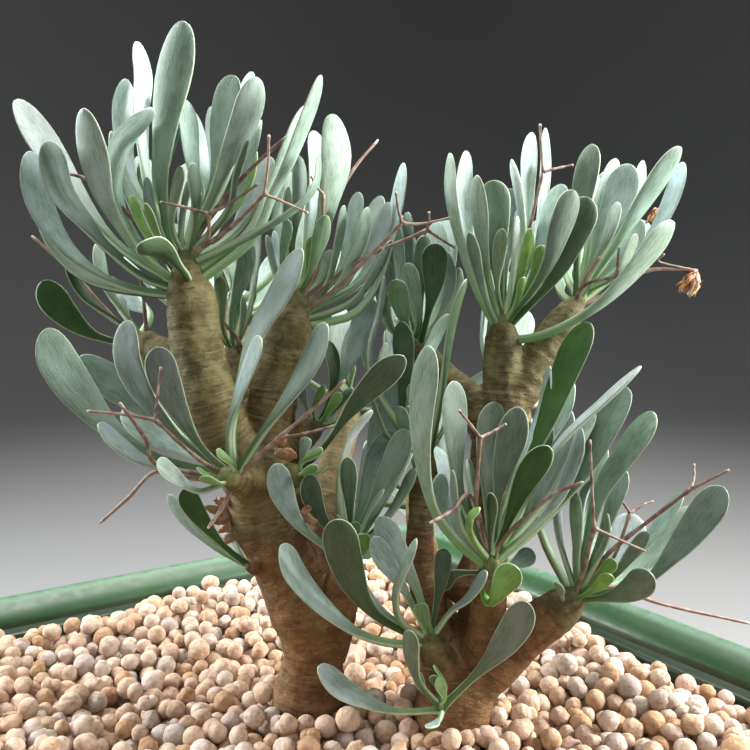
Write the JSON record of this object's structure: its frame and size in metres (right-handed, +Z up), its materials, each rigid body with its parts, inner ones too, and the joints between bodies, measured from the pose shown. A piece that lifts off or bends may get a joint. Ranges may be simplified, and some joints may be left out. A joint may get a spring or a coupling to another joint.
{
  "type": "potted succulent",
  "caption": "Small branching succulent with thick bare stems, rosettes of long spoon-shaped leaves and dry forked stalks, in a shallow square pot of round clay balls.",
  "frame": {"origin": "middle of the pot's flat underside, on the pot's axis", "axes": "+Z up; the pot stands square to +X and +Y, and the picture looks along about 34 degrees from +Y towards +X"},
  "size_m": [0.18, 0.18, 0.2453],
  "materials": {
    "pot": "dark green moulded plastic, satin gloss",
    "clay_balls": "unglazed fired clay, matt",
    "bark": "papery bark over a living stem",
    "leaf": "waxy grey-green leaf with a dull bloom"
  },
  "bodies": {
    "root": {"pot": "pot", "clay_balls": "clay_balls", "trunk_left": "bark", "trunk_right": "bark", "leaves_crown_left": "leaf", "leaves_crown_mid": "leaf", "leaves_low_left": "leaf", "leaves_mid_low": "leaf", "leaves_mid_notch": "leaf", "leaves_mid_twin": "leaf", "leaves_shoulder": "leaf", "leaves_cleft": "leaf", "leaves_trunk_tuft": "leaf", "leaves_foot": "leaf", "leaves_low_mid": "leaf", "leaves_mid_back": "leaf", "leaves_back": "leaf", "leaves_front_right": "leaf", "leaves_low_right": "leaf", "leaves_crown_right": "leaf", "leaves_crown_far_right": "leaf", "leaves_far_left": "leaf", "leaves_far_mid": "leaf", "leaves_far_right": "leaf", "leaves_far_low": "leaf"}
  },
  "joints": []
}
